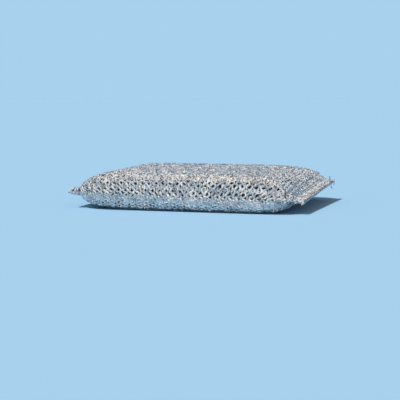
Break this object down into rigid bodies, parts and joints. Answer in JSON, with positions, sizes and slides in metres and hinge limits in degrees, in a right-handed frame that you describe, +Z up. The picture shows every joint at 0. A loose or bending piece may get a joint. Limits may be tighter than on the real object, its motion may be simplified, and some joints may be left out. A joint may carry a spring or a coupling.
{
  "type": "scouring pad",
  "caption": "Pillow-shaped scouring pad: a foam block in a knitted sleeve of silver metallised tape, welded flat into a fin at each end.",
  "frame": {"origin": "on the surface that the pad lies on, under the middle of its overall box", "axes": "+X along the pad's length from one welded fin to the other, +Y away from the pictured long side, +Z up through its thickness"},
  "size_m": [0.1284, 0.093, 0.0193],
  "materials": {
    "metallised_knit": "silver metallised flat tape, knitted, bright",
    "foam": "dark grey open-cell foam, matte"
  },
  "bodies": {
    "root": {"knit_sleeve": "metallised_knit", "foam_core": "foam"}
  },
  "joints": []
}
